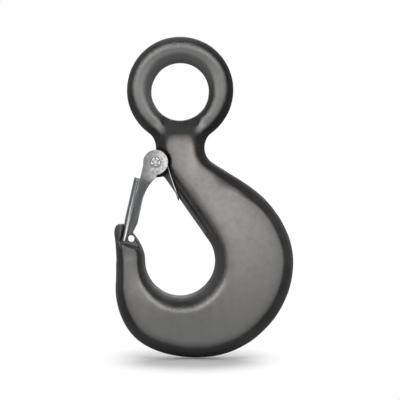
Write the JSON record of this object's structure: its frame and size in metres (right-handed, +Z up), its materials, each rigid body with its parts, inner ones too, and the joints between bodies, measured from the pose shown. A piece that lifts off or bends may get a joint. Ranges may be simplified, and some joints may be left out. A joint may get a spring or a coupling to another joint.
{
  "type": "eye hook with latch",
  "caption": "Forged hoist hook with a round eye, a deep bowl and a sprung, riveted sheet latch that closes the throat.",
  "frame": {"origin": "centre of the eye, midway through the ring's thickness", "axes": "+Z up from the bowl through the eye along the line of the load, +X from the throat's opening towards the hook's back, +Y along the eye's axis"},
  "size_m": [0.1254, 0.029, 0.2246],
  "materials": {
    "forged_steel": "satin dark coat over a forged and shot-blasted surface",
    "plated_sheet": "zinc plated, grained",
    "plated_rivet": "zinc plated, hammered end",
    "spring_wire": "drawn and plated wire"
  },
  "bodies": {
    "hook": {"hook_body": "forged_steel", "latch_spring": "spring_wire"},
    "latch": {"latch": "plated_sheet", "pivot_rivet": "plated_rivet"}
  },
  "joints": [
    {"name": "latch_hinge", "type": "hinge", "parent": "hook", "child": "latch", "pos_m": [-0.017, 0, -0.04948], "axis": [0, -1, 0], "range_deg": [0, 55], "stiffness_Nm_per_rad": 0.4, "springref_deg": -51.57, "deforming": ["latch_spring"]}
  ]
}
